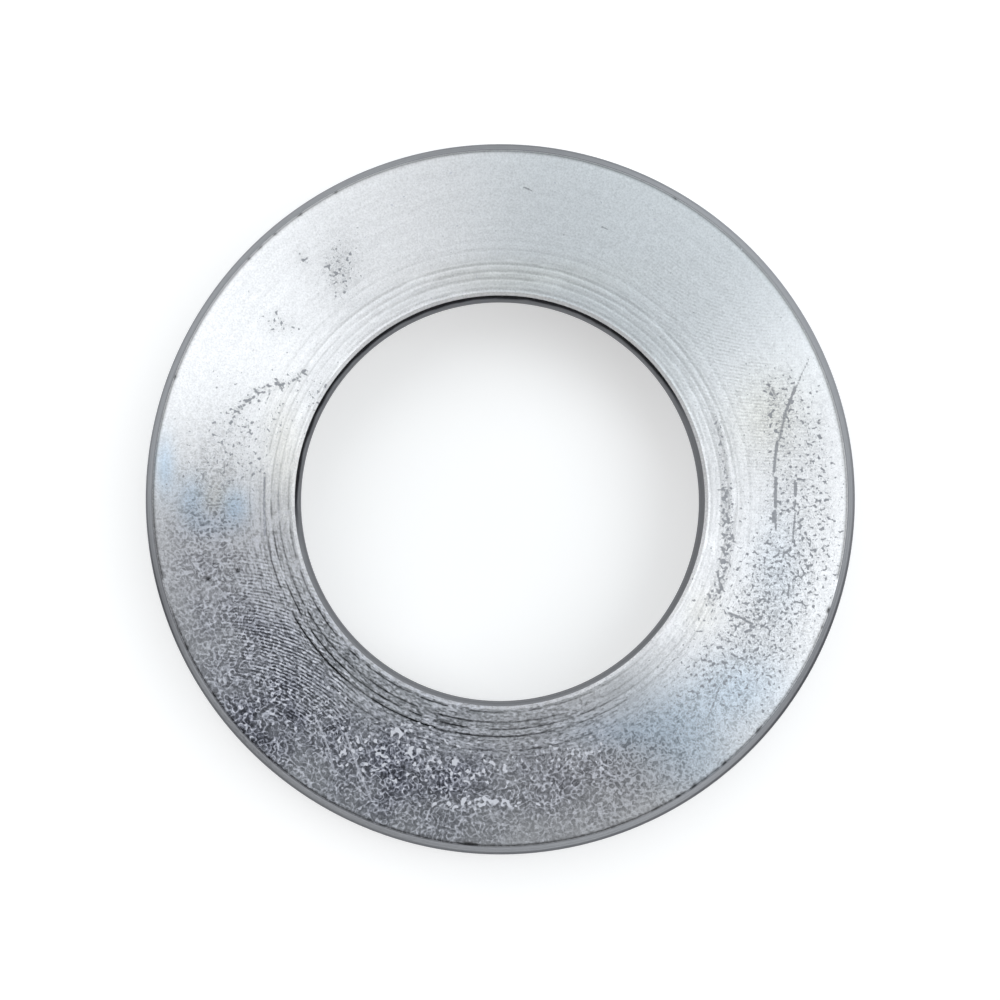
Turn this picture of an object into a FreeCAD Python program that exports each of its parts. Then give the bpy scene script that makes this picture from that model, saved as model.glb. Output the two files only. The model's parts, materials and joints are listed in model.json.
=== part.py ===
import FreeCAD, Part
import os

import Sketcher

# The retention cup: one turned steel ring, like a shallow cup standing mouth down.
# Its closed end is a flat web with a large bore; a leaning shoulder joins the web to
# an upright skirt, and the skirt encloses a plain round pocket under the web.
# Millimetres. The origin is the centre of the mouth, on the surface it stands on; +Z is up.

# Driving dimensions, each written once: name, size, what it sets.
SIZES = [
    ("rim_diameter", 64.0, "outside of the skirt"),
    ("bore_diameter", 35.5, "hole through the web"),
    ("cup_height", 10.0, "mouth to outer face"),
    ("web_thickness", 4.0, "wall of the closed end"),
    ("skirt_thickness", 4.5, "wall of the skirt"),
    ("shoulder_width", 2.0, "how far the shoulder leans out"),
    ("shoulder_height", 5.0, "how far down the shoulder reaches"),
    ("bore_edge", 0.25, "chamfer at both ends of the bore"),
    ("face_edge", 0.2, "rounding between outer face and shoulder"),
    ("rim_edge", 0.3, "chamfer outside the mouth"),
    ("mouth_edge", 0.5, "chamfer inside the mouth"),
    ("pocket_corner", 0.8, "rounding between skirt and web in the pocket"),
]

# Radii and heights worked out from the driving dimensions: name, formula.
DERIVED = [
    ("rim_radius", "rim_diameter / 2"),
    ("face_radius", "rim_diameter / 2 - shoulder_width"),
    ("pocket_radius", "rim_diameter / 2 - skirt_thickness"),
    ("bore_radius", "bore_diameter / 2"),
    ("pocket_depth", "cup_height - web_thickness"),
    ("skirt_height", "cup_height - shoulder_height"),
]

# Corners of the turned section, counter-clockwise from the bore's outer end: radius, height.
SECTION = [
    ("bore_radius", "cup_height"),
    ("bore_radius", "pocket_depth"),
    ("pocket_radius", "pocket_depth"),
    ("pocket_radius", None),
    ("rim_radius", None),
    ("rim_radius", "skirt_height"),
    ("face_radius", "cup_height"),
]


def make_sheet(doc):
    """Spreadsheet with a row for each driving dimension and, below them, the derived ones."""
    sheet = doc.addObject("Spreadsheet::Sheet", "Sizes")
    row = 1
    for name, size, meaning in SIZES:
        sheet.set(f"A{row}", name)
        sheet.set(f"B{row}", str(size))
        sheet.set(f"C{row}", meaning)
        sheet.setAlias(f"B{row}", name)
        row += 1
    for name, formula in DERIVED:
        sheet.set(f"A{row}", name)
        sheet.set(f"B{row}", "=" + formula)
        sheet.setAlias(f"B{row}", name)
        row += 1
    doc.recompute()
    return sheet


def origin_plane(body, role):
    """One of the body's own origin planes."""
    for feature in body.Origin.OriginFeatures:
        if feature.Role == role:
            return feature
    raise ValueError(f"no origin plane {role}")


def draw_section(body, sheet):
    """Closed outline of half the section, right of the turning axis, each corner held by the sheet."""
    sketch = body.newObject("Sketcher::SketchObject", "Section")
    sketch.AttachmentSupport = [(origin_plane(body, "XZ_Plane"), "")]
    sketch.MapMode = "FlatFace"
    corners = []
    for radius, height in SECTION:
        up = float(sheet.get(height)) if height else 0.0
        corners.append(FreeCAD.Vector(float(sheet.get(radius)), up, 0))
    count = len(corners)
    for i in range(count):
        sketch.addGeometry(Part.LineSegment(corners[i], corners[(i + 1) % count]), False)
    for i in range(count):
        sketch.addConstraint(Sketcher.Constraint("Coincident", i, 2, (i + 1) % count, 1))
    for i, (radius, height) in enumerate(SECTION):
        across = sketch.addConstraint(Sketcher.Constraint("DistanceX", -1, 1, i, 1, corners[i].x))
        sketch.setExpression(f"Constraints[{across}]", f"Sizes.{radius}")
        if height:
            up = sketch.addConstraint(Sketcher.Constraint("DistanceY", -1, 1, i, 1, corners[i].y))
            sketch.setExpression(f"Constraints[{up}]", f"Sizes.{height}")
        else:
            sketch.addConstraint(Sketcher.Constraint("PointOnObject", i, 1, -1))
    return sketch


def turn_section(body, sketch):
    """The section turned a full circle about the cup's axis."""
    turned = body.newObject("PartDesign::Revolution", "Turned")
    turned.Profile = sketch
    turned.ReferenceAxis = (sketch, ["V_Axis"])
    turned.Angle = 360
    body.Document.recompute()
    return turned


def circle_names(feature, radius, height):
    """Names of the feature's full circles at that radius and height."""
    names = []
    for i, edge in enumerate(feature.Shape.Edges, start=1):
        curve = edge.Curve
        if not isinstance(curve, Part.Circle):
            continue
        if abs(curve.Radius - radius) < 1e-4 and abs(curve.Center.z - height) < 1e-4:
            names.append(f"Edge{i}")
    if not names:
        raise ValueError(f"no edge at radius {radius} and height {height}")
    return names


def dress_edges(body, sheet, base, kind, name, size, places):
    """A chamfer or fillet of that size on the circles at the given places."""
    names = []
    for radius, height in places:
        up = float(sheet.get(height)) if height else 0.0
        names += circle_names(base, float(sheet.get(radius)), up)
    feature = body.newObject(f"PartDesign::{kind}", name)
    feature.Base = (base, names)
    prop = "Size" if kind == "Chamfer" else "Radius"
    feature.setExpression(prop, f"Sizes.{size}")
    body.Document.recompute()
    return feature


def make_cup(doc, sheet):
    """The whole cup as one body."""
    body = doc.addObject("PartDesign::Body", "RetentionCup")
    body.Label = "retention_cup"
    body.Placement = FreeCAD.Placement()
    tip = turn_section(body, draw_section(body, sheet))
    bore_ends = [("bore_radius", "cup_height"), ("bore_radius", "pocket_depth")]
    tip = dress_edges(body, sheet, tip, "Chamfer", "BoreEdges", "bore_edge", bore_ends)
    tip = dress_edges(body, sheet, tip, "Chamfer", "RimEdge", "rim_edge", [("rim_radius", None)])
    tip = dress_edges(body, sheet, tip, "Chamfer", "MouthEdge", "mouth_edge", [("pocket_radius", None)])
    corner = [("pocket_radius", "pocket_depth")]
    tip = dress_edges(body, sheet, tip, "Fillet", "PocketCorner", "pocket_corner", corner)
    face_rim = [("face_radius", "cup_height")]
    dress_edges(body, sheet, tip, "Fillet", "FaceEdge", "face_edge", face_rim)
    return body


def check(doc, bodies):
    """Stop unless every object recomputed cleanly and every body is one valid solid."""
    for item in doc.Objects:
        faults = {"Invalid", "Error"} & set(item.State)
        if faults:
            raise RuntimeError(f"{item.Label}: {sorted(faults)}")
    for body in bodies:
        shape = body.Shape
        if shape.isNull() or not shape.isValid() or len(shape.Solids) != 1:
            raise RuntimeError(f"{body.Label}: not one valid solid")


def main():
    os.makedirs("parts", exist_ok=True)
    doc = FreeCAD.newDocument("RetentionCup")
    sheet = make_sheet(doc)
    bodies = [make_cup(doc, sheet)]
    doc.recompute()
    check(doc, bodies)
    for body in bodies:
        body.Shape.exportStep(f"parts/{body.Label}.step")


main()
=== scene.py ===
import json
import math

import bpy
import numpy as np
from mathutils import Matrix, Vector


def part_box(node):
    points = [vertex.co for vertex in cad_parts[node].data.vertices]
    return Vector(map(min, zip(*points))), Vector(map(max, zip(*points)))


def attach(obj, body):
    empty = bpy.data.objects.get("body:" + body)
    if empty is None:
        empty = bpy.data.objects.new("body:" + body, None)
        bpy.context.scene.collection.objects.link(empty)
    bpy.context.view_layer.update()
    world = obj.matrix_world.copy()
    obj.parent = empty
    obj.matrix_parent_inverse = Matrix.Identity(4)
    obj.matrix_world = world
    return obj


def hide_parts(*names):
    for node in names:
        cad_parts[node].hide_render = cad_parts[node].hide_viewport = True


# The retention cup as it lies in the photo: mouth down, seen from nearly straight above.
# Metres, in the frame of the solid model. The cup's section is read from the solid model and
# its record, so the fine mesh built here keeps every size of the solid that it stands for.

NODE = "retention_cup"
PIECE = "turned_cup"
MM = 0.001
# Places closer than these are the same: in the solid's mesh, and in the mesh built here.
CLOSE = 1e-5
CLOSEST = 1e-7

# The camera: place, small lean, lens and upward shift that put the rings where the photo has them.
CAMERA_AT = (0.47 * MM, -2.33 * MM, 120.0 * MM)
CAMERA_LEAN_DEG = (-2.29, 0.23)
CAMERA_LENS = 45.8
CAMERA_SHIFT_Y = 0.08
CAMERA_CLIP = (0.005, 10.0)

# Softboxes: azimuth and angle from straight up in degrees, diameter in metres, radiance, tint.
SOFTBOX_FAR = 0.60
SOFTBOXES = {
    "right_softbox": (-7, 34, 0.50, 2.27, (0.97, 1.0, 1.02)),
    "back_softbox": (58, 34, 0.46, 1.50, (0.88, 0.98, 1.03)),
    "left_softbox": (134, 34, 0.51, 1.92, (0.97, 1.0, 1.02)),
}
# The room: white walls low down, a dim ceiling above, and how high each begins (sine of the elevation).
WALL_LIGHT = 1.0
CEILING_LIGHT = 0.08
WALL_TOP = 0.36
CEILING_FROM = 0.62
# The floor: half its side, its paint, and the little glow that carries it to white in the picture,
# near the cup and far from it, with the distances between which the one turns into the other.
FLOOR_REACH = 3.0
FLOOR_PAINT = 0.62
FLOOR_GLOW = 0.52
FLOOR_FAR_GLOW = 1.0
FLOOR_NEAR = 0.25
FLOOR_FAR = 1.0

# Steps of the mesh round the cup: in the surfaces seen from above, and in the hidden ones.
FINE = 800
COARSE = 400
# Longest steps of the section, in millimetres, from the bore wall out and down and back to the seat.
WALL_STEP = 0.9
BORE_EDGE_STEP = 0.13
FACE_STEP = 0.125
SHOULDER_STEP = 1.2
SKIRT_STEP = 1.6
POCKET_STEP = 2.4
SEAT_STEP = 2.5
# Steps of the rounding at the face's outer edge and of the one in the pocket's corner.
ROUNDING_STEPS = 4
CORNER_STEPS = 5
# A narrow strip below the outer edge's rounding keeps its shading off the shoulder: share of the shoulder.
STRIP = 0.03
# Faces that meet at more than this angle keep a crisp edge.
SHARP_DEG = 20
# The rounding at the face's outer edge, the mouth's chamfer and the pocket's corner, in millimetres.
ROUNDING = 0.2
MOUTH_EDGE = 0.5
POCKET_CORNER = 0.8
# The face's finish reaches this far below the top and past the flat face, in millimetres.
FINISH_DOWN = 0.45
FINISH_OUT = 0.12
# Places this little past an edge, in millimetres, still count as on it.
SLACK = 0.01

# Marks on the face, in millimetres from the axis. Every patch is x, y, reach in x, reach in y, amount.
PATCHES = {
    # dull grey specks
    "specks": [
        (26.0, 0.0, 4.5, 11.0, 0.62), (22.0, -8.5, 5.5, 6.0, 0.46), (19.5, -15.5, 6.5, 5.5, 0.52),
        (-20.5, 7.0, 5.0, 4.5, 0.42), (-24.0, 2.0, 4.0, 5.0, 0.42), (-15.0, 9.0, 2.0, 2.0, 0.40),
        (-13.6, 20.0, 1.7, 3.2, 0.70), (-18.8, 15.3, 2.0, 1.2, 0.58), (-17.0, 20.8, 0.9, 1.2, 0.50),
        (24.0, 8.5, 2.0, 3.0, 0.40),
    ],
    # grey film with pale mottling, over the lower half; its darkening is partly a real film and partly
    # painted shade
    "film": [
        (-18.0, -12.0, 6.5, 7.0, 0.80), (-7.0, -22.0, 10.0, 8.0, 1.00), (-22.0, -20.0, 5.0, 5.0, 0.60),
        (7.5, -23.0, 6.5, 6.5, 0.40), (-26.0, -4.5, 5.0, 6.0, 0.36),
        (-18.5, -1.0, 3.0, 4.0, 0.22), (-27.0, -12.0, 3.0, 4.0, 0.22),
    ],
    # pale crusty flecks
    "flecks": [
        (-8.0, -21.0, 4.0, 3.0, 0.90), (-2.0, -24.0, 4.5, 2.6, 1.00), (-1.5, -26.2, 6.5, 0.6, 1.00),
        (-13.0, -22.0, 3.0, 3.0, 0.75), (-14.5, -17.5, 2.0, 2.5, 0.80), (6.5, -22.0, 5.0, 2.0, 0.85),
        (-8.6, -19.8, 0.8, 0.5, 1.05), (-7.5, -21.6, 0.5, 0.3, 0.90),
    ],
    # where the fine hatching shows
    "hatch": [
        (-19.0, -11.5, 4.5, 4.5, 1.00), (-15.5, -16.0, 4.5, 4.0, 0.75), (20.5, 10.0, 4.5, 5.5, 0.60),
        (24.0, 4.0, 3.5, 4.0, 0.30), (25.0, -5.0, 4.0, 7.0, 0.25), (15.0, 17.0, 6.0, 5.0, 0.35),
        (-20.5, -6.5, 3.0, 2.5, 0.40), (-25.0, 0.0, 5.0, 5.0, 0.25),
    ],
    # fine mottling of the bare steel
    "mottle": [
        (16.0, -20.0, 8.0, 7.5, 0.48), (23.0, -9.0, 5.0, 9.0, 0.24), (-24.5, 1.0, 5.0, 6.0, 0.24),
        (-13.5, 19.0, 3.0, 5.0, 0.12), (2.0, 24.0, 16.0, 7.0, 0.05), (21.0, 5.0, 5.0, 6.0, 0.10),
        (8.0, 20.0, 8.0, 5.0, 0.03), (6.0, -23.5, 7.0, 5.0, 0.06),
    ],
    # patches of painted shade on the shoulder
    "grime": [
        (27.0, -15.0, 10.0, 10.0, 0.22), (-30.5, -8.5, 4.0, 7.0, 0.26), (3.0, 31.0, 15.0, 5.0, 0.20),
    ],
    # faint heat tints, straw and blue
    "straw": [
        (-18.6, 4.0, 1.7, 5.0, 0.8), (-24.7, 0.2, 1.2, 1.5, 0.9), (22.9, 7.6, 3.0, 3.5, 0.9),
        (2.0, 19.3, 8.0, 1.4, 0.5), (17.5, -9.5, 1.5, 2.0, 0.6),
    ],
    "blue": [
        (-22.9, -0.5, 1.2, 1.6, 1.2), (-28.9, 3.0, 0.9, 2.5, 1.0), (-26.6, 0.1, 1.3, 2.0, 1.0),
        (-25.1, -2.0, 1.6, 1.0, 0.6), (24.0, -6.0, 2.2, 5.0, 0.32), (15.0, -19.0, 5.0, 3.5, 0.8),
        (9.5, -20.0, 4.0, 1.5, 0.6), (21.0, -16.0, 4.0, 3.0, 0.7), (17.0, -23.0, 4.0, 3.0, 0.5),
    ],
}
# The most that overlapping patches add up to.
MOST_AMOUNT = 2

# Streams of grey specks: half width, amount, and the points that each runs through.
STREAMS = [
    (0.50, 0.80, [(18.6, 7.1), (19.2, 4.0), (19.5, 1.0)]),
    (0.70, 1.00, [(19.5, 1.0), (19.8, -3.1), (19.4, -5.6), (18.9, -7.7), (18.1, -8.5)]),
    (0.80, 0.66, [(27.3, 7.0), (28.1, 1.0), (28.2, -5.5)]),
    (0.45, 0.80, [(23.2, 10.5), (23.3, 7.5)]),
    (0.55, 0.72, [(-16.6, 11.3), (-18.6, 10.2), (-20.9, 9.4), (-22.4, 8.2), (-23.0, 7.0), (-23.6, 5.2)]),
]

# Scratches: half width, darkness, and the points that each runs through.
SCRATCHES = [
    (0.09, 0.70, [(26.6, 12.4), (25.9, 10.9), (25.3, 9.3)]),
    (0.16, 0.85, [(25.4, 9.9), (24.9, 8.5), (24.5, 7.5)]),
    (0.26, 0.62, [(24.5, 7.4), (24.1, 5.5)]),
    (0.16, 0.95, [(23.9, 5.2), (23.7, 3.6), (23.65, 2.6)]),
    (0.18, 0.90, [(23.8, 2.1), (23.8, 1.2)]),
    (0.18, 0.95, [(23.75, 0.9), (23.8, -0.4)]),
    (0.26, 1.00, [(23.7, -0.9), (23.7, -1.6)]),
    (0.12, 0.75, [(23.8, -1.6), (23.85, -2.4)]),
    (0.11, 0.50, [(25.9, 9.1), (26.3, 7.0), (26.7, 5.2)]),
    (0.22, 0.45, [(26.7, 4.9), (26.9, 2.2)]),
    (0.18, 0.95, [(25.5, 1.6), (25.5, 0.6)]),
    (0.15, 0.85, [(25.5, 0.1), (25.4, -0.4)]),
    (0.11, 0.80, [(25.5, -0.9), (25.3, -3.4)]),
    (0.19, 0.60, [(23.4, 9.8), (23.8, 8.9)]),
    (0.15, 0.90, [(19.8, -9.6), (21.0, -10.0), (21.9, -10.6)]),
    (0.12, 0.70, [(18.9, -11.4), (19.5, -12.0)]),
    (0.11, 0.75, [(19.1, -16.0), (18.6, -17.4), (18.1, -18.6)]),
    (0.07, 0.70, [(25.1, -4.2), (25.9, -4.7), (26.5, -5.8), (27.5, -6.3)]),
    (0.12, 0.90, [(-13.4, -20.1), (-12.4, -23.0), (-11.2, -25.9)]),
    (0.11, 0.85, [(-15.9, -18.9), (-14.9, -21.4), (-14.2, -24.2)]),
    (0.10, 0.80, [(2.0, 26.9), (2.7, 26.6)]),
    (0.10, 0.70, [(8.6, 23.6), (9.2, 23.3)]),
    (0.11, 1.00, [(-19.3, 10.7), (-18.7, 9.6)]),
    (0.16, 0.85, [(-21.1, 9.7), (-20.8, 9.3)]),
    (0.15, 0.80, [(-22.3, 8.3), (-22.2, 8.0)]),
    (0.09, 0.80, [(-19.7, 9.6), (-20.1, 8.7)]),
    (0.09, 0.75, [(-25.2, 3.3), (-24.4, 2.5)]),
    (0.11, 0.85, [(-25.6, 2.4), (-25.6, 1.9)]),
    (0.08, 0.65, [(-23.7, 3.7), (-23.9, 2.3)]),
    (0.09, 0.65, [(-14.4, 21.4), (-14.1, 20.6)]),
    (0.11, 0.85, [(-17.0, 11.2), (-16.6, 10.9)]),
    (0.12, 0.80, [(-17.5, 10.7), (-17.2, 10.4)]),
    (0.10, 0.70, [(-16.4, 9.4), (-16.0, 8.9)]),
    (0.13, 0.80, [(-20.3, 2.1), (-20.35, 0.2), (-20.3, -2.9)]),
    (0.09, 0.60, [(-21.6, 1.4), (-21.6, -0.6)]),
    (0.09, 0.60, [(-19.1, 1.0), (-19.1, -1.6)]),
]

# Pits: x, y, radius, depth. Their painted shade: share of the radius, and strength per millimetre of depth.
PITS = [(-22.7, -6.0, 0.24, 0.06), (-25.3, -6.7, 0.22, 0.06), (-24.8, -5.3, 0.15, 0.02)]
PIT_SHADE_REACH = 0.95
PIT_SHADE = 22

# Turning rings close to the bore that were cut deeper: the depth and half width of one of strength 1,
# the degrees over which its ends fade, and each ring's radius, strength, first and last azimuth.
RING_DEEP = 0.016
RING_WIDE = 0.09
RING_FADE_DEG = 8
RINGS = [
    (18.25, 1.30, 256, 278), (19.12, 1.20, 248, 292), (19.74, 1.40, 250, 291), (20.36, 1.40, 254, 289),
    (18.62, 0.50, 240, 268), (20.73, 0.60, 244, 272), (19.50, 0.45, 222, 248),
    (18.70, 0.35, 195, 330), (19.40, 0.35, 150, 225), (20.40, 1.00, 171, 193), (21.60, 0.60, 165, 190),
    (19.20, 0.60, 163, 196), (22.40, 0.40, 166, 190), (18.40, 0.32, 0, 360), (18.95, 0.30, 0, 360),
    (19.90, 0.28, 20, 240), (20.80, 0.14, 70, 200),
]
# A plain strip beside the bore that no ring or pit cuts, in millimetres.
UNCUT_EDGE = 0.05

# Nicks in the face's outer edge: azimuth, width and depth.
NICKS = [
    (124.8, 0.30, 0.07), (118.0, 0.30, 0.05), (129.9, 0.25, 0.06), (133.4, 0.25, 0.05), (136.0, 0.25, 0.05),
    (341.7, 0.45, 0.11), (318.6, 0.50, 0.06), (310.6, 0.50, 0.06), (304.2, 0.60, 0.09), (301.2, 0.35, 0.07),
    (264.9, 1.40, 0.14), (228.0, 0.40, 0.07), (214.0, 0.50, 0.08), (205.0, 0.40, 0.05), (159.0, 0.30, 0.06),
    (60.0, 0.30, 0.04), (339.0, 0.25, 0.05), (297.0, 0.40, 0.06),
]
# How far a nick reaches into the face and down, in millimetres, and the share of its depth that is cut.
NICK_IN = 0.14
NICK_DOWN = 0.5
NICK_CUT = 0.6
# Painted shade in the nicks: strength per millimetre of depth, radius and width.
NICK_SHADE = 11.0
NICK_SHADE_RADIUS = 29.92
NICK_SHADE_WIDE = 0.13
# The dark line of painted shade that runs along part of the outer edge: azimuths, strength, radius and
# width.
RIM_LINE_FROM = 193
RIM_LINE_TO = 347
RIM_LINE = 0.75
RIM_LINE_RADIUS = 29.93
RIM_LINE_WIDE = 0.11

# The hatching: two families of wide arcs about these centres, the side of the cup where the second
# family lies, their pitch, and how far the lines waver.
HATCH_LOW = (-25.0, -30.0, 10.0)
HATCH_HIGH = (24.0, 33.0, 10.0)
HATCH_HIGH_SIDE = (1.0, 0.6, 0.0)
HATCH_PITCH = 0.285
HATCH_WAVER = 5.0

# Noises drawn out along the face's rings: pace round the cup, pace across its rings, detail, roughness.
RING_NOISES = {
    "streaks": (9, 5.5, 2.5, 0.6),
    "broad": (2.2, 1.9, 1.5, 0.5),
    "broken": (7, 1.2, 1.0, 0.5),
    "ring_grain": (52, 6.2, 1.0, 0.5),
}
# Noises of the face that run no one way: scale, detail, roughness.
EVEN_NOISES = {
    "grain": (3.7, 1.0, 0.5),
    "worms": (2.0, 0.0, 0.5),
    "spots": (3.2, 0.7, 0.5),
    "lumps": (2.5, 0.5, 0.5),
    "blot": (1.4, 2.0, 0.55),
    "cloud": (0.35, 1.0, 0.5),
    "fine": (6.5, 1.0, 0.5),
    "waver": (1.1, 1.0, 0.5),
}
# The angles, in radians, that a place is turned by before it meets such a noise.
ASKEW = (0.7, 0.5, 0.3)

# Spans over which a radius, noise or relief goes from 0 to 1, or between the third and fourth number.
NEAR_BORE = (24.5, 19.5)
FILM_AND_SHADE_CLOUDS = (0.3, 0.7, 0.8, 1.15)
COVER_BLOTS = (0.30, 0.62, 0.66, 1.14)
HATCH_BLOTS = (0.36, 0.58, 0.4, 1.0)
WORM_RIDGES = (0.10, 0.0, 0.08, 0.27)
PALE_RELIEF = (0.42, 0.68)
HOLLOW_RELIEF = (0.54, 0.33)
CRUST_RELIEF = (0.46, 0.70)
SCRATCH_SHOWS = (0.0, 0.40)
RING_SHOWS = (0.32, 0.46)
CRUST_IN_FILM = (0.1, 0.5)

# Marks that show where a noise is above a level: the level, and how much their patches lower it.
# The last number is how softly every such mark ends.
SPECK_LEVEL = (0.79, 0.31)
SMALL_SPECK_LEVEL = (0.74, 0.22)
FLECK_LEVEL = (0.80, 0.20)
MARK_EDGE = 0.06

# What the fine mottling's cover is made of.
COVER = {"film": 0.85, "specks": 0.22, "hatch": 0.25, "least": 0.07}
# What its relief is made of.
RELIEF = {"grain": 0.65, "lines": 0.12}
# How deep the hollows are, and how much less so near the bore.
HOLLOW = 0.77
HOLLOW_LESS_BY_BORE = 0.22
# How strongly a turning ring shows on bare steel, and how much more in the film: painted shade in the
# rings.
GROOVE_SHADE = 0.18
GROOVE_SHADE_IN_FILM = 0.9
# How a scratch is broken up: its own strength less that of the fine noise.
SCRATCH_WHOLE = 1.3
SCRATCH_BROKEN = 0.9
# How strongly each mark dulls the steel, and the share of small specks and of scratches in the film.
DULL = {"speck": 0.85, "pale": 0.95, "scratch": 0.8}
SMALL_SPECK = 0.7
FILM_SCRATCH = 0.6
# How much each noise varies the steel's brightness, and how much each mark takes from it.
SHADE = {
    "streaks": 0.13, "streaks_by_bore": 0.20, "streaks_in_film": 0.55,
    "broad": 0.12, "fine": 0.50, "lines": 0.16,
    "hollow": 1.0, "groove": 0.92, "dirt": 0.90,
}
# How strongly the tints colour the steel, and how strongly the grey film darkens it: partly a real film,
# partly painted shade.
STRAW_TINT = 0.5
BLUE_TINT = 0.6
FILM_AND_SHADE_TINT = 0.9
FILM_AND_SHADE_TINT_LESS_BY_BORE = 0.45
# Colours of the face's steel and of what lies on it.
STEEL = (0.82, 0.825, 0.84, 1)
STRAW = (0.84, 0.82, 0.73, 1)
BLUE = (0.56, 0.74, 0.92, 1)
# The film's grey, partly painted shade over the lower half.
FILM_AND_SHADE = (0.35, 0.355, 0.44, 1)
CRUST_DARK = (0.28, 0.29, 0.34, 1)
CRUST_PALE = (0.74, 0.75, 0.81, 1)
SPECK = (0.25, 0.26, 0.285, 1)
FLECK = (0.64, 0.65, 0.70, 1)
# Gloss of the face: roughness, what streaks and marks add to it, how far marks are from metal, how
# strongly reflections fan out, and the share of the streaks and of the grain in the fine relief.
FACE_ROUGH = 0.335
FACE_ROUGH_STREAKS = 0.05
FACE_ROUGH_MARKS = 0.40
FACE_NOT_METAL = 0.9
FACE_ANISOTROPY = 0.92
FACE_BUMP_SHARE = 0.6
# Reflections fan out across the turning rings when the grain is turned by a quarter.
GRAIN_TURN = 0.25
# Depth of the fine relief of every steel surface.
BUMP_DEPTH = 0.004 * MM

# The upright surfaces: colour, least brightness, what the rings add to it, and roughness. Their steel is
# darker than the face's, partly as painted shade.
SIDE_STEEL = ((0.20, 0.21, 0.232), 0.66, 0.38, 0.30)
BORE_STEEL = ((0.15, 0.155, 0.165), 0.60, 0.5, 0.36)
# Their rings and broader bands: stretch of each noise, then its scale, detail and roughness, and for
# the bands the span of the noise and the brightness at its two ends.
SIDE_RINGS = (0.03, 0.03, 10.0)
SIDE_RINGS_NOISE = (1.0, 3.0, 0.6)
SIDE_BANDS = (0.03, 0.03, 1.7)
SIDE_BANDS_NOISE = (1.0, 0.0)
SIDE_BANDS_SHADE = (0.3, 0.7, 0.80, 1.20)
# Their stains: noise, what they add to the brightness and to the roughness.
STAIN_NOISE = (0.8, 3.0, 0.6)
STAIN_SHADE = 0.34
STAIN_ROUGH = 0.2
SIDE_ANISOTROPY = 0.6
# A painted shadow low on the shoulder, a dark belt: height, spans of its fade up and down and from back to
# front, strength.
BELT_AT = 5.9
BELT_FADE = (1.3, 0.3)
BELT_FRONT = (18.0, -12.0, 0.3, 1.0)
BELT = 0.45
# Painted shade on the shoulder where the film is: its noise and span, its even and blotted parts, its
# colours.
SIDE_SHADE_NOISE = (2.6, 2.0)
SIDE_SHADE_BLOTS = (0.40, 0.60)
SIDE_SHADE_EVEN = 0.12
SIDE_SHADE_BLOTTED = 0.30
SIDE_SHADE = (0.03, 0.03, 0.035, 1)
SIDE_SHADE_SHEEN = (0.12, 0.12, 0.13, 1)
CLEAN_SHEEN = (1, 1, 1, 1)
# A painted shadow in the bore, under its upper edge: the height it reaches down to, its soft edge, its
# frayed lower edge, the side it is on, colours.
BORE_SHADOW_FROM = 8.2
BORE_SHADOW_EDGE = 1.3
BORE_SHADOW_FRAY = (0.55, 0.55, 0.25)
BORE_SHADOW_FRAY_NOISE = (1.0, 2.0, 0.5)
BORE_SHADOW_FRAY_LENGTH = 1.4
BORE_SHADOW_SIDE = (-0.3, 1.0, 0.0)
BORE_SHADOW_SIDE_SPAN = (1.0, 7.0)
BORE_SHADOW = (0.05, 0.05, 0.055, 1)
BORE_SHADOW_SHEEN = (0.02, 0.02, 0.025, 1)
BORE_SHEEN = (0.9, 0.9, 0.92, 1)


def cad_section(frame):
    """Radii and heights of the cup, in metres, from the solid's mesh and the record's mounts."""
    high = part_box(NODE)[1]
    points = np.array([v.co for v in frame["nodes"][NODE].data.vertices])
    radii = np.hypot(points[:, 0], points[:, 1])
    top = radii[points[:, 2] > high.z - CLOSE]
    widest = points[radii > radii.max() - CLOSE]
    mounts = {m["name"]: m for m in frame["record"]["mounts"]}
    return {
        "top": high.z,
        "seat": mounts["seat_face"]["pos_m"][2],
        "bore": mounts["bore"]["dims"]["r_mm"] * MM,
        "pocket": mounts["pocket"]["dims"]["r_mm"] * MM,
        "face_in": top.min(),
        "face_out": top.max(),
        "rim": radii.max(),
        "shoulder": widest[:, 2].max(),
        "rim_edge": widest[:, 2].min(),
    }


def spaced(start, end, step):
    """Evenly spaced points from start to end, both included, at most step apart."""
    count = max(1, math.ceil(math.dist(start, end) / step))
    return [
        (start[0] + (end[0] - start[0]) * i / count, start[1] + (end[1] - start[1]) * i / count)
        for i in range(count + 1)
    ]


def arc(centre, radius, first, last, count):
    """Points on an arc between two angles, both included."""
    angles = [math.radians(first + (last - first) * i / count) for i in range(count + 1)]
    return [(centre[0] + radius * math.cos(a), centre[1] + radius * math.sin(a)) for a in angles]


def joined(runs):
    """The runs as one list without the points that two of them share."""
    points = [runs[0][0]]
    for run in runs:
        points += [p for p in run if math.dist(p, points[-1]) > CLOSEST]
    return points


def seen_section(s):
    """Half section from low on the bore wall up, across the face and down the shoulder."""
    edge = s["face_in"] - s["bore"]
    rounding = ROUNDING * MM
    lean = math.degrees(math.atan2(s["rim"] - s["face_out"] - rounding, s["top"] - s["shoulder"]))
    rounded = arc((s["face_out"], s["top"] - rounding), rounding, 90, lean, ROUNDING_STEPS)
    last = rounded[-1]
    below = (last[0] + (s["rim"] - last[0]) * STRIP, last[1] + (s["shoulder"] - last[1]) * STRIP)
    return joined([
        spaced((s["bore"], s["seat"] + edge), (s["bore"], s["top"] - edge), WALL_STEP * MM),
        spaced((s["bore"], s["top"] - edge), (s["face_in"], s["top"]), BORE_EDGE_STEP * MM),
        spaced((s["face_in"], s["top"]), (s["face_out"], s["top"]), FACE_STEP * MM),
        rounded,
        [below],
        spaced(below, (s["rim"], s["shoulder"]), SHOULDER_STEP * MM),
    ])


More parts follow.
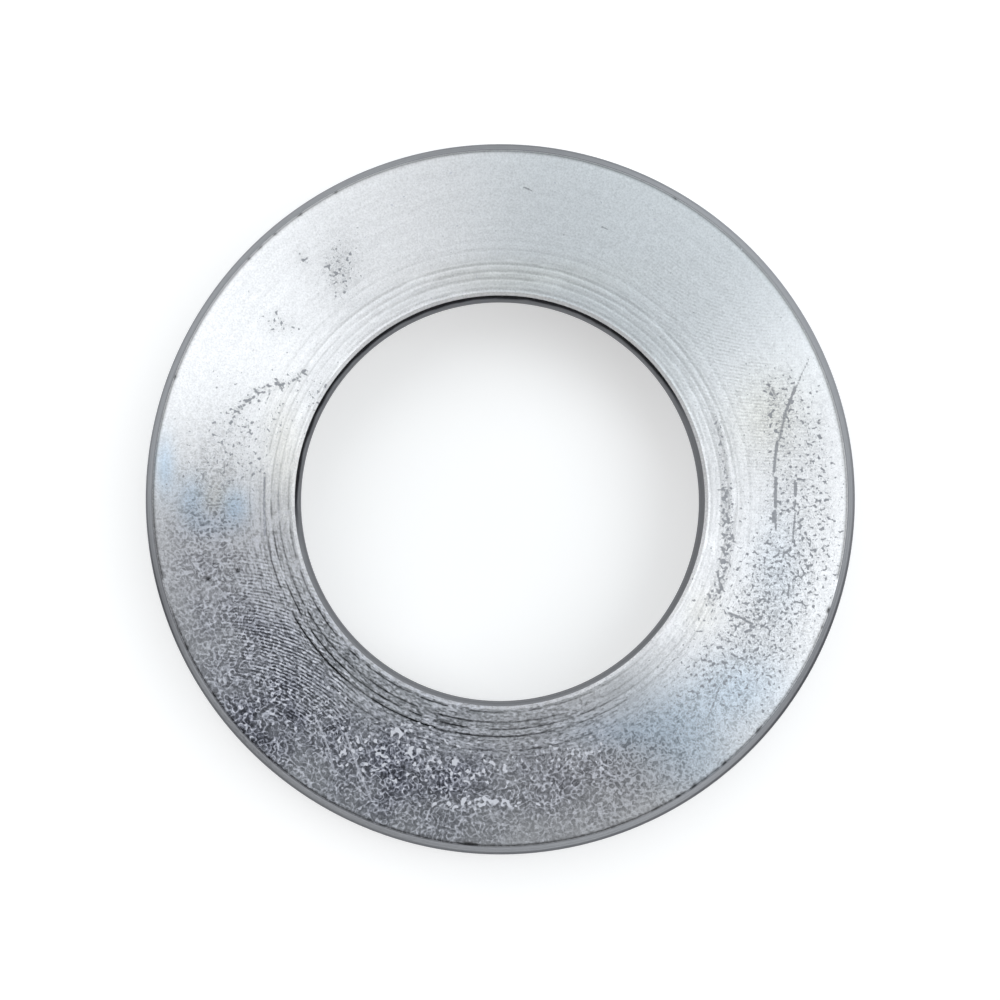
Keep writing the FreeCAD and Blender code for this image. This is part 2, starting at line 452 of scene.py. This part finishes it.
def hidden_section(s):
    """The rest of the half section: skirt, mouth, pocket, the web's underside and its bore edge."""
    edge = s["face_in"] - s["bore"]
    mouth = MOUTH_EDGE * MM
    corner = POCKET_CORNER * MM
    rim_in = s["rim"] - s["rim_edge"]
    return joined([
        spaced((s["rim"], s["shoulder"]), (s["rim"], s["rim_edge"]), SKIRT_STEP * MM),
        [(rim_in, 0.0), (s["pocket"] + mouth, 0.0), (s["pocket"], mouth)],
        spaced((s["pocket"], mouth), (s["pocket"], s["seat"] - corner), POCKET_STEP * MM),
        arc((s["pocket"] - corner, s["seat"] - corner), corner, 0, 90, CORNER_STEPS),
        spaced((s["pocket"] - corner, s["seat"]), (s["bore"] + edge, s["seat"]), SEAT_STEP * MM),
        [(s["bore"], s["seat"] + edge)],
    ])


def turned(outline, steps):
    """The points of an outline turned round the Z axis, one row of them per outline point."""
    outline = np.array(outline)
    angles = np.arange(steps) * 2 * math.pi / steps
    rows = np.zeros((len(outline), steps, 3))
    rows[:, :, 0] = outline[:, 0:1] * np.cos(angles)
    rows[:, :, 1] = outline[:, 0:1] * np.sin(angles)
    rows[:, :, 2] = outline[:, 1:2]
    return rows


def band(start, steps):
    """Quads between two rows of equal length, the second straight after the first."""
    return [
        (start + k, start + steps + k, start + steps + (k + 1) % steps, start + (k + 1) % steps)
        for k in range(steps)
    ]


def merge_band(fine, coarse, outward):
    """Triangles between a fine row and a coarse row of half its length."""
    faces = []
    for k in range(COARSE):
        left, middle, right = fine + 2 * k, fine + 2 * k + 1, fine + (2 * k + 2) % FINE
        near, far = coarse + k, coarse + (k + 1) % COARSE
        made = [(left, near, middle), (middle, near, far), (middle, far, right)]
        faces += made if outward else [face[::-1] for face in made]
    return faces


def cup_faces(fine_rows, coarse_rows):
    """Faces of the closed mesh: the fine rows come first, and both ends of the coarse ones meet them."""
    first_coarse = fine_rows * FINE
    faces = []
    for i in range(fine_rows - 1):
        faces += band(i * FINE, FINE)
    faces += merge_band((fine_rows - 1) * FINE, first_coarse, True)
    for i in range(coarse_rows - 1):
        faces += band(first_coarse + i * COARSE, COARSE)
    faces += merge_band(0, first_coarse + (coarse_rows - 1) * COARSE, False)
    return faces


def bell(distance, reach):
    """1 at no distance, falling smoothly to 0 past its reach."""
    return np.exp(-(distance / reach) ** 2)


def polar(x, y):
    """Radius, and azimuth in degrees from 0 to 360."""
    return np.hypot(x, y), np.degrees(np.arctan2(y, x)) % 360


def soft_sum(x, y, patches):
    """Sum of soft round patches, from 0 to the most that a field may hold."""
    total = np.zeros_like(x)
    for px, py, reach_x, reach_y, amount in patches:
        total += amount * np.exp(-((x - px) / reach_x) ** 2 - ((y - py) / reach_y) ** 2)
    return np.clip(total, 0, MOST_AMOUNT)


def line_distance(x, y, points):
    """Distance to a run of straight pieces."""
    best = np.full_like(x, np.inf)
    for (ax, ay), (bx, by) in zip(points, points[1:]):
        length2 = (bx - ax) ** 2 + (by - ay) ** 2
        along = np.clip(((x - ax) * (bx - ax) + (y - ay) * (by - ay)) / length2, 0, 1)
        best = np.minimum(best, np.hypot(x - ax - along * (bx - ax), y - ay - along * (by - ay)))
    return best


def line_field(x, y, lines):
    """The strongest of some soft lines at each place."""
    field = np.zeros_like(x)
    for half_width, amount, run in lines:
        field = np.maximum(field, amount * bell(line_distance(x, y, run), half_width))
    return field


def ring_ends(azimuth, first, last):
    """1 along a ring that runs from one azimuth to another, falling to 0 at its ends."""
    if last - first >= 360:
        return np.ones_like(azimuth)
    to_end = np.minimum((azimuth - first) % 360, (last - azimuth) % 360)
    return np.clip(to_end / RING_FADE_DEG, 0, 1)


def ring_field(x, y):
    """How deeply each place lies in one of the bolder turning rings."""
    radius, azimuth = polar(x, y)
    field = np.zeros_like(x)
    for ring, deep, first, last in RINGS:
        strength = deep * ring_ends(azimuth, first, last)
        field = np.maximum(field, strength * bell(radius - ring, RING_WIDE))
    return field


def nick_field(x, y):
    """Depth of the nicks at each azimuth, in millimetres."""
    radius, azimuth = polar(x, y)
    field = np.zeros_like(x)
    for at, width, deep in NICKS:
        across = ((azimuth - at + 180) % 360 - 180) * math.pi / 180 * radius
        field += deep * np.exp(-(across / width * 2) ** 4)
    return field


def painted_shade_field(x, y):
    """Painted shade in the pits and nicks, by their depth, and in the line along part of the outer edge."""
    radius, azimuth = polar(x, y)
    field = np.zeros_like(x)
    for px, py, reach, deep in PITS:
        field += PIT_SHADE * deep * bell(np.hypot(x - px, y - py), PIT_SHADE_REACH * reach)
    field += NICK_SHADE * nick_field(x, y) * bell(NICK_SHADE_RADIUS - radius, NICK_SHADE_WIDE)
    line = RIM_LINE * ring_ends(azimuth, RIM_LINE_FROM, RIM_LINE_TO)
    field += line * bell(RIM_LINE_RADIUS - radius, RIM_LINE_WIDE)
    return np.clip(field, 0, 1)


def carve(rows, s):
    """Lowers the seen rows, in place, at the pits, bolder rings and nicks."""
    x, y, z = rows[:, :, 0] / MM, rows[:, :, 1] / MM, rows[:, :, 2]
    radius = np.hypot(x, y)
    inner, outer = s["face_in"] / MM, s["face_out"] / MM
    flat = (z > s["top"] - CLOSEST) & (radius > inner + UNCUT_EDGE) & (radius < outer + SLACK)
    depth = np.zeros_like(x)
    for px, py, reach, deep in PITS:
        depth += deep * bell(np.hypot(x - px, y - py), reach)
    depth += RING_DEEP * ring_field(x, y)
    depth *= flat
    near = bell(np.clip(outer - radius, 0, None), NICK_IN)
    depth += NICK_CUT * near * (z > s["top"] - NICK_DOWN * MM) * nick_field(x, y)
    rows[:, :, 2] -= depth * MM


def add_fields(mesh, points, hidden_from):
    """Writes the fields that the materials read; the points from hidden_from on have no marks."""
    x, y = points[:, 0] / MM, points[:, 1] / MM
    fields = {name: soft_sum(x, y, patches) for name, patches in PATCHES.items()}
    fields["specks"] = np.maximum(fields["specks"], line_field(x, y, STREAMS))
    fields["scratch"] = line_field(x, y, SCRATCHES)
    fields["rings"] = ring_field(x, y)
    # Painted shade of the pits, nicks and outer edge line.
    fields["dirt"] = painted_shade_field(x, y)
    for name, values in fields.items():
        values[hidden_from:] = 0
        mesh.attributes.new(name, "FLOAT", "POINT").data.foreach_set("value", values)


def add_materials(mesh, s):
    """Gives the face and its two edges one material, the bore wall another and the rest the third."""
    centres = np.zeros(len(mesh.polygons) * 3)
    mesh.polygons.foreach_get("center", centres)
    centres = centres.reshape(-1, 3)
    radius = np.hypot(centres[:, 0], centres[:, 1])
    high = centres[:, 2] > s["top"] - FINISH_DOWN * MM
    on_face = high & (radius > s["bore"] + SLACK * MM) & (radius < s["face_out"] + FINISH_OUT * MM)
    in_bore = (radius < s["face_in"]) & ~on_face
    for material in (turned_face(), turned_side(), bore_wall()):
        mesh.materials.append(material)
    face, side, bore = range(3)
    chosen = np.where(on_face, face, np.where(in_bore, bore, side))
    mesh.polygons.foreach_set("material_index", chosen.tolist())


def turned_cup(s):
    """The whole cup as one closed mesh, with the fields that its materials read."""
    fine = turned(seen_section(s), FINE)
    carve(fine, s)
    coarse = turned(hidden_section(s)[1:-1], COARSE)
    points = np.concatenate([fine.reshape(-1, 3), coarse.reshape(-1, 3)])
    faces = cup_faces(len(fine), len(coarse))
    mesh = bpy.data.meshes.new(PIECE)
    mesh.from_pydata(points.tolist(), [], faces)
    mesh.polygons.foreach_set("use_smooth", [True] * len(faces))
    mesh.set_sharp_from_angle(angle=math.radians(SHARP_DEG))
    add_fields(mesh, points, len(fine) * FINE)
    add_materials(mesh, s)
    piece = bpy.data.objects.new(PIECE, mesh)
    bpy.context.scene.collection.objects.link(piece)
    return piece


class Nodes:
    """Short calls that add shader nodes to the tree of a material or a world, and link them."""

    def __init__(self, owner):
        owner.use_nodes = True
        self.tree = owner.node_tree

    def node(self, kind, **settings):
        """A new node with its attributes set."""
        made = self.tree.nodes.new(kind)
        for name, value in settings.items():
            setattr(made, name, value)
        return made

    def feed(self, socket, value):
        """Links an output to a socket, or sets a plain value on it."""
        if isinstance(value, bpy.types.NodeSocket):
            self.tree.links.new(value, socket)
        else:
            socket.default_value = value

    def math(self, operation, a, b=None, clamp=False):
        """One sum on one or two numbers."""
        made = self.node("ShaderNodeMath", operation=operation, use_clamp=clamp)
        self.feed(made.inputs[0], a)
        if b is not None:
            self.feed(made.inputs[1], b)
        return made.outputs[0]

    def plus(self, a, b, clamp=False):
        """a and b added up."""
        return self.math("ADD", a, b, clamp)

    def minus(self, a, b):
        """a less b."""
        return self.math("SUBTRACT", a, b)

    def times(self, a, b, clamp=False):
        """a multiplied by b."""
        return self.math("MULTIPLY", a, b, clamp)

    def most(self, a, b):
        """The larger of a and b."""
        return self.math("MAXIMUM", a, b)

    def least(self, a, b):
        """The smaller of a and b."""
        return self.math("MINIMUM", a, b)

    def vector(self, operation, a, b=None, scale=None):
        """One sum on one or two vectors; a length, distance or dot product comes back as a number."""
        made = self.node("ShaderNodeVectorMath", operation=operation)
        self.feed(made.inputs[0], a)
        if b is not None:
            self.feed(made.inputs[1], b)
        if scale is not None:
            self.feed(made.inputs["Scale"], scale)
        return made.outputs["Value" if operation in ("LENGTH", "DISTANCE", "DOT_PRODUCT") else "Vector"]

    def parts(self, vector):
        """The X, Y and Z of a vector."""
        made = self.node("ShaderNodeSeparateXYZ")
        self.feed(made.inputs[0], vector)
        return made.outputs

    def noise(self, vector, scale, detail=2.0, roughness=0.5):
        """A noise from 0 to 1 with its mean near 0.5."""
        made = self.node("ShaderNodeTexNoise")
        self.feed(made.inputs["Vector"], vector)
        made.inputs["Scale"].default_value = scale
        made.inputs["Detail"].default_value = detail
        made.inputs["Roughness"].default_value = roughness
        return made.outputs["Fac"]

    def centred(self, noise):
        """A noise less its mean."""
        return self.minus(noise, 0.5)

    def ramp(self, value, low, high, to_low=0.0, to_high=1.0):
        """to_low at the value low, to_high at the value high, and a smooth step between."""
        made = self.node("ShaderNodeMapRange", interpolation_type="SMOOTHSTEP")
        names = ("Value", "From Min", "From Max", "To Min", "To Max")
        for name, given in zip(names, (value, low, high, to_low, to_high)):
            self.feed(made.inputs[name], given)
        return made.outputs["Result"]

    def mix(self, share, a, b):
        """Colour a with a share of colour b."""
        made = self.node("ShaderNodeMix", data_type="RGBA")
        self.feed(made.inputs[0], share)
        self.feed(made.inputs[6], a)
        self.feed(made.inputs[7], b)
        return made.outputs[2]

    def field(self, name):
        """One of the fields that the mesh carries."""
        return self.node("ShaderNodeAttribute", attribute_name=name).outputs["Fac"]

    def metres(self):
        """Place in the frame of the model, in metres."""
        return self.node("ShaderNodeTexCoord").outputs["Object"]

    def millimetres(self):
        """Place in the frame of the model, in millimetres."""
        return self.vector("SCALE", self.metres(), scale=1 / MM)

    def skewed(self, place):
        """The same place turned askew, so that no noise shows its own grid on a flat face."""
        made = self.node("ShaderNodeVectorRotate", rotation_type="EULER_XYZ")
        self.feed(made.inputs["Vector"], place)
        made.inputs["Rotation"].default_value = ASKEW
        return made.outputs[0]

    def around(self, place, turns, across):
        """Coordinates that run slowly round the cup and quickly across its rings."""
        flat = self.vector("MULTIPLY", place, (1, 1, 0))
        radius = self.vector("LENGTH", flat)
        way = self.vector("SCALE", self.vector("NORMALIZE", flat), scale=turns)
        far = self.node("ShaderNodeCombineXYZ")
        self.feed(far.inputs["Z"], self.times(radius, across))
        return self.vector("ADD", way, far.outputs[0])


class Steel(Nodes):
    """The nodes of a turned steel material."""

    def __init__(self, name):
        self.material = bpy.data.materials.new(name)
        super().__init__(self.material)
        self.bsdf = self.tree.nodes["Principled BSDF"]

    def turned_grain(self, roughness, anisotropic):
        """Finish of a surface cut on a lathe: reflections fan out across its rings."""
        self.bsdf.inputs["Anisotropic"].default_value = anisotropic
        self.bsdf.inputs["Anisotropic Rotation"].default_value = GRAIN_TURN
        self.feed(self.bsdf.inputs["Roughness"], roughness)
        tangent = self.node("ShaderNodeTangent", direction_type="RADIAL", axis="Z")
        self.feed(self.bsdf.inputs["Tangent"], tangent.outputs[0])

    def bump(self, height):
        """Fine relief from a height between 0 and 1."""
        made = self.node("ShaderNodeBump")
        made.inputs["Distance"].default_value = BUMP_DEPTH
        self.feed(made.inputs["Height"], height)
        self.feed(self.bsdf.inputs["Normal"], made.outputs[0])


def face_noises(n, place):
    """The noises of the face by name."""
    skew = n.skewed(place)
    noises = {}
    for name, (turns, across, detail, roughness) in RING_NOISES.items():
        noises[name] = n.noise(n.around(place, turns, across), 1.0, detail, roughness)
    for name, (scale, detail, roughness) in EVEN_NOISES.items():
        noises[name] = n.noise(skew, scale, detail, roughness)
    return noises


def hatching(n, place, noises):
    """Fine lines of two families of wide arcs, from -1 to 1, fading where the hatch field does."""
    low = n.vector("DISTANCE", place, HATCH_LOW)
    high = n.vector("DISTANCE", place, HATCH_HIGH)
    is_high = n.math("GREATER_THAN", n.vector("DOT_PRODUCT", place, HATCH_HIGH_SIDE), 0.0)
    far = n.plus(low, n.times(n.minus(high, low), is_high))
    waver = n.times(noises["waver"], HATCH_WAVER)
    lines = n.math("SINE", n.plus(n.times(far, 2 * math.pi / HATCH_PITCH), waver))
    return n.times(lines, n.times(n.field("hatch"), n.ramp(noises["blot"], *HATCH_BLOTS)))


def above(n, noise, field, level, share):
    """1 where a noise is above a level, which a field lowers by its share."""
    return n.ramp(n.plus(noise, n.times(n.field(field), share)), level, level + MARK_EDGE)


def mottle_cover(n, noises, film):
    """How much of each place the fine mottling covers."""
    cover = n.plus(n.times(film, COVER["film"]), n.times(n.field("specks"), COVER["specks"]))
    cover = n.plus(cover, n.times(n.field("hatch"), COVER["hatch"]))
    cover = n.plus(cover, n.field("mottle"))
    return n.times(n.plus(cover, COVER["least"]), n.ramp(noises["blot"], *COVER_BLOTS), clamp=True)


def mottle_relief(n, noises, near_bore, lines):
    """Relief of the fine mottling: wormy, but drawn out along the rings near the bore."""
    worms = n.math("ABSOLUTE", n.centred(noises["worms"]))
    wormy = n.plus(n.times(noises["grain"], RELIEF["grain"]), n.ramp(worms, *WORM_RIDGES))
    relief = n.plus(wormy, n.times(n.minus(noises["ring_grain"], wormy), near_bore))
    return n.plus(relief, n.times(lines, RELIEF["lines"]))


def face_marks(n, noises, film, near_bore, cover, relief):
    """How strongly each mark shows at each place of the face, from 0 to 1."""
    small = above(n, noises["fine"], "specks", *SMALL_SPECK_LEVEL)
    speck = n.most(above(n, noises["spots"], "specks", *SPECK_LEVEL), n.times(small, SMALL_SPECK))
    ragged = n.times(n.field("scratch"), SCRATCH_WHOLE)
    scratch = n.ramp(n.minus(ragged, n.times(noises["fine"], SCRATCH_BROKEN)), *SCRATCH_SHOWS)
    film_scratch = n.times(n.times(scratch, film), FILM_SCRATCH)
    hollow = n.times(n.ramp(relief, *HOLLOW_RELIEF), cover)
    ring = n.times(n.field("rings"), n.ramp(noises["broken"], *RING_SHOWS))
    return {
        "speck": speck,
        "scratch": scratch,
        "fleck": n.most(above(n, noises["lumps"], "flecks", *FLECK_LEVEL), film_scratch),
        "pale": n.times(n.ramp(relief, *PALE_RELIEF), cover),
        "hollow": n.times(hollow, n.minus(HOLLOW, n.times(near_bore, HOLLOW_LESS_BY_BORE))),
        # Painted shade in the bolder turning rings, deepest in the film.
        "groove": n.times(ring, n.plus(GROOVE_SHADE, n.times(film, GROOVE_SHADE_IN_FILM)), clamp=True),
        # Painted shade in the pits and nicks and along part of the outer edge.
        "dirt": n.field("dirt"),
    }


def dulled(n, marks):
    """How far the marks take the shine off each place."""
    dull = n.most(n.times(marks["speck"], DULL["speck"]), n.times(marks["pale"], DULL["pale"]))
    dull = n.times(dull, n.minus(1.0, marks["groove"]))
    dull = n.most(n.most(dull, marks["fleck"]), n.times(marks["scratch"], DULL["scratch"]))
    return n.times(dull, n.minus(1.0, marks["dirt"]))


def face_shade(n, noises, marks, film, near_bore, lines):
    """Brightness of the bare steel, with its streaks and grain, and darker where marks take from it: the
    hollows, and painted shade in the rings, pits, nicks and along part of the outer edge.
    """
    ringed = n.plus(SHADE["streaks_by_bore"], n.times(film, SHADE["streaks_in_film"]))
    streaky = n.plus(SHADE["streaks"], n.times(near_bore, ringed))
    shade = n.plus(1.0, n.times(n.centred(noises["streaks"]), streaky))
    shade = n.plus(shade, n.times(n.centred(noises["broad"]), SHADE["broad"]))
    shade = n.plus(shade, n.times(n.centred(noises["fine"]), SHADE["fine"]))
    shade = n.plus(shade, n.times(lines, SHADE["lines"]))
    # The hollows darken the mottling; the rings, pits, nicks and edge line are painted shade.
    for mark in ("hollow", "groove", "dirt"):
        shade = n.times(shade, n.minus(1.0, n.times(marks[mark], SHADE[mark])))
    return shade


def face_colour(n, marks, shade, film, near_bore, relief, dull):
    """Colour of the face: tinted steel under the grey film, which is partly real and partly painted shade,
    with the crust, specks and flecks over it.
    """
    filmed = n.times(film, n.minus(FILM_AND_SHADE_TINT, n.times(near_bore, FILM_AND_SHADE_TINT_LESS_BY_BORE)))
    steel = n.mix(n.times(n.field("straw"), STRAW_TINT), STEEL, STRAW)
    steel = n.mix(n.times(n.field("blue"), BLUE_TINT), steel, BLUE)
    # The grey film over the lower half: partly real, partly painted shade.
    steel = n.mix(filmed, steel, FILM_AND_SHADE)
    colour = n.vector("SCALE", steel, scale=shade)
    crust = n.mix(n.ramp(relief, *CRUST_RELIEF), CRUST_DARK, CRUST_PALE)
    colour = n.mix(dull, colour, n.mix(n.ramp(film, *CRUST_IN_FILM), SPECK, crust))
    return n.mix(marks["fleck"], colour, FLECK)


def turned_face():
    """Bright turned steel with rings, grey specks, film, flecks, hatching, tints and scratches, and painted
    shade in the film, rings, pits, nicks and along part of the outer edge.
    """
    n = Steel("turned_face")
    place = n.millimetres()
    noises = face_noises(n, place)
    lines = hatching(n, place, noises)
    near_bore = n.ramp(n.vector("LENGTH", n.vector("MULTIPLY", place, (1, 1, 0))), *NEAR_BORE)
    # Where the grey film lies: partly a real film, partly painted shade of the lower half.
    film = n.least(n.times(n.field("film"), n.ramp(noises["cloud"], *FILM_AND_SHADE_CLOUDS)), 1.0)
    relief = mottle_relief(n, noises, near_bore, lines)
    marks = face_marks(n, noises, film, near_bore, mottle_cover(n, noises, film), relief)
    dull = dulled(n, marks)
    shade = face_shade(n, noises, marks, film, near_bore, lines)
    colour = face_colour(n, marks, shade, film, near_bore, relief, dull)
    n.feed(n.bsdf.inputs["Base Color"], colour)
    n.feed(n.bsdf.inputs["Metallic"], n.minus(1.0, n.times(dull, FACE_NOT_METAL)))
    rough = n.plus(FACE_ROUGH, n.times(noises["streaks"], FACE_ROUGH_STREAKS))
    n.turned_grain(n.plus(rough, n.times(dull, FACE_ROUGH_MARKS)), FACE_ANISOTROPY)
    n.bump(n.plus(n.times(noises["streaks"], FACE_BUMP_SHARE), n.times(noises["grain"], FACE_BUMP_SHARE)))
    return n.material


def side_steel(n, place, colour, low, rings_deep, rough):
    """The turned rings and stains of an upright surface; returns its colour before any marks."""
    rings = n.noise(n.vector("MULTIPLY", place, SIDE_RINGS), *SIDE_RINGS_NOISE)
    bands = n.noise(n.vector("MULTIPLY", place, SIDE_BANDS), *SIDE_BANDS_NOISE)
    stain = n.noise(place, *STAIN_NOISE)
    shade = n.plus(low, n.plus(n.times(rings, rings_deep), n.times(stain, STAIN_SHADE)))
    shade = n.times(shade, n.ramp(bands, *SIDE_BANDS_SHADE))
    n.turned_grain(n.plus(rough, n.times(stain, STAIN_ROUGH)), SIDE_ANISOTROPY)
    n.bump(rings)
    n.bsdf.inputs["Metallic"].default_value = 1.0
    return n.vector("SCALE", colour, scale=shade)


def turned_side():
    """Turned steel of the shoulder, skirt and hidden surfaces, duller and darker than the face, partly as
    painted shade, with more painted shade below the film, in a belt low at the front, in patches and at the
    nicks and edge line.
    """
    n = Steel("turned_side")
    place = n.millimetres()
    colour = side_steel(n, place, *SIDE_STEEL)
    parts = n.parts(place)
    # A painted shadow low on the shoulder, strongest at the front.
    off_belt = n.math("ABSOLUTE", n.minus(parts["Z"], BELT_AT))
    belt = n.times(n.ramp(off_belt, *BELT_FADE), n.ramp(parts["Y"], *BELT_FRONT))
    blot = n.ramp(n.noise(n.skewed(place), *SIDE_SHADE_NOISE), *SIDE_SHADE_BLOTS)
    # Painted shade below the film, at the nicks and edge line, in the low belt and in patches.
    shaded = n.times(n.least(n.field("film"), 1.0), n.plus(SIDE_SHADE_EVEN, n.times(blot, SIDE_SHADE_BLOTTED)))
    shaded = n.most(shaded, n.field("dirt"))
    shaded = n.most(shaded, n.times(belt, BELT))
    shaded = n.plus(shaded, n.field("grime"), clamp=True)
    n.feed(n.bsdf.inputs["Base Color"], n.mix(shaded, colour, SIDE_SHADE))
    n.feed(n.bsdf.inputs["Specular Tint"], n.mix(shaded, CLEAN_SHEEN, SIDE_SHADE_SHEEN))
    return n.material


def bore_wall():
    """Dark steel of the bore, darker than the face partly as painted shade, with a nearly black painted
    shadow under part of its upper edge.
    """
    n = Steel("bore_wall")
    place = n.millimetres()
    colour = side_steel(n, place, *BORE_STEEL)
    # A nearly black painted shadow under the upper edge, on the far side, with a frayed lower edge.
    frayed = n.times(n.noise(n.vector("MULTIPLY", place, BORE_SHADOW_FRAY), *BORE_SHADOW_FRAY_NOISE), BORE_SHADOW_FRAY_LENGTH)
    bore_shadow = n.ramp(n.plus(n.parts(place)["Z"], frayed), BORE_SHADOW_FROM, BORE_SHADOW_FROM + BORE_SHADOW_EDGE)
    bore_shadow = n.times(bore_shadow, n.ramp(n.vector("DOT_PRODUCT", place, BORE_SHADOW_SIDE), *BORE_SHADOW_SIDE_SPAN))
    n.feed(n.bsdf.inputs["Base Color"], n.mix(bore_shadow, colour, BORE_SHADOW))
    n.feed(n.bsdf.inputs["Specular Tint"], n.mix(bore_shadow, BORE_SHEEN, BORE_SHADOW_SHEEN))
    return n.material


def floor_material():
    """Pale matt paint with a glow that only the camera, reflections and see-through paths meet."""
    material = bpy.data.materials.new("white_floor")
    n = Nodes(material)
    n.tree.nodes.clear()
    out = n.node("ShaderNodeOutputMaterial")
    both = n.node("ShaderNodeAddShader")
    paint = n.node("ShaderNodeBsdfDiffuse")
    paint.inputs["Color"].default_value = (FLOOR_PAINT, FLOOR_PAINT, FLOOR_PAINT, 1)
    glow = n.node("ShaderNodeEmission")
    path = n.node("ShaderNodeLightPath").outputs
    seen = n.most(n.most(path["Is Camera Ray"], path["Is Glossy Ray"]), path["Is Transmission Ray"])
    far = n.vector("LENGTH", n.metres())
    level = n.ramp(far, FLOOR_NEAR, FLOOR_FAR, FLOOR_GLOW, FLOOR_FAR_GLOW)
    n.feed(glow.inputs["Strength"], n.times(seen, level))
    n.feed(both.inputs[0], paint.outputs[0])
    n.feed(both.inputs[1], glow.outputs[0])
    n.feed(out.inputs["Surface"], both.outputs[0])
    return material


def white_floor():
    """A wide pale plane that the cup stands on and shades."""
    far = FLOOR_REACH
    mesh = bpy.data.meshes.new("floor")
    mesh.from_pydata([(-far, -far, 0), (far, -far, 0), (far, far, 0), (-far, far, 0)], [], [(0, 1, 2, 3)])
    mesh.materials.append(floor_material())
    floor = bpy.data.objects.new("floor", mesh)
    bpy.context.scene.collection.objects.link(floor)


def white_room():
    """White walls and a dim ceiling, as the world."""
    world = bpy.data.worlds.new("room")
    bpy.context.scene.world = world
    n = Nodes(world)
    n.tree.nodes.clear()
    out = n.node("ShaderNodeOutputWorld")
    room = n.node("ShaderNodeBackground")
    room.inputs["Color"].default_value = (1, 1, 1, 1)
    height = n.parts(n.node("ShaderNodeTexCoord").outputs["Generated"])["Z"]
    level = n.ramp(height, WALL_TOP, CEILING_FROM, WALL_LIGHT, CEILING_LIGHT)
    n.feed(room.inputs["Strength"], level)
    n.feed(out.inputs["Surface"], room.outputs[0])


def softboxes():
    """The round softboxes, each facing the cup."""
    for name, (azimuth, zenith, diameter, radiance, tint) in SOFTBOXES.items():
        light = bpy.data.lights.new(name, "AREA")
        light.shape = "DISK"
        light.size = diameter
        light.color = tint
        # A lamp's power is its radiance times pi times its area.
        light.energy = radiance * (math.pi * diameter / 2) ** 2
        lamp = bpy.data.objects.new(name, light)
        a, z = math.radians(azimuth), math.radians(zenith)
        up = Vector((math.cos(a) * math.sin(z), math.sin(a) * math.sin(z), math.cos(z)))
        lamp.location = up * SOFTBOX_FAR
        lamp.rotation_euler = up.to_track_quat("Z", "Y").to_euler()
        bpy.context.scene.collection.objects.link(lamp)


def photo_camera():
    """The camera where the photo was taken from."""
    data = bpy.data.cameras.new("camera")
    data.lens = CAMERA_LENS
    data.shift_y = CAMERA_SHIFT_Y
    data.clip_start, data.clip_end = CAMERA_CLIP
    camera = bpy.data.objects.new("camera", data)
    camera.location = CAMERA_AT
    camera.rotation_euler = (math.radians(CAMERA_LEAN_DEG[0]), math.radians(CAMERA_LEAN_DEG[1]), 0)
    bpy.context.scene.collection.objects.link(camera)
    bpy.context.scene.camera = camera


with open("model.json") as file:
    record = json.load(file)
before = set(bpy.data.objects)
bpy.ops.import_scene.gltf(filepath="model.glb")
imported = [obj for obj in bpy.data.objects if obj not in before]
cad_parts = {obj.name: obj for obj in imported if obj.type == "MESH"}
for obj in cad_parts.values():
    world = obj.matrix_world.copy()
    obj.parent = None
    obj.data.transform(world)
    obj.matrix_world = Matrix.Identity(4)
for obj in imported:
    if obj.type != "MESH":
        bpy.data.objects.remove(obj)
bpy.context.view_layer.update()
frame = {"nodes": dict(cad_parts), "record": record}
cup = turned_cup(cad_section(frame))
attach(cup, "root")
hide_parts(NODE)
white_floor()
white_room()
softboxes()
photo_camera()
bpy.context.scene.view_settings.view_transform = "Standard"
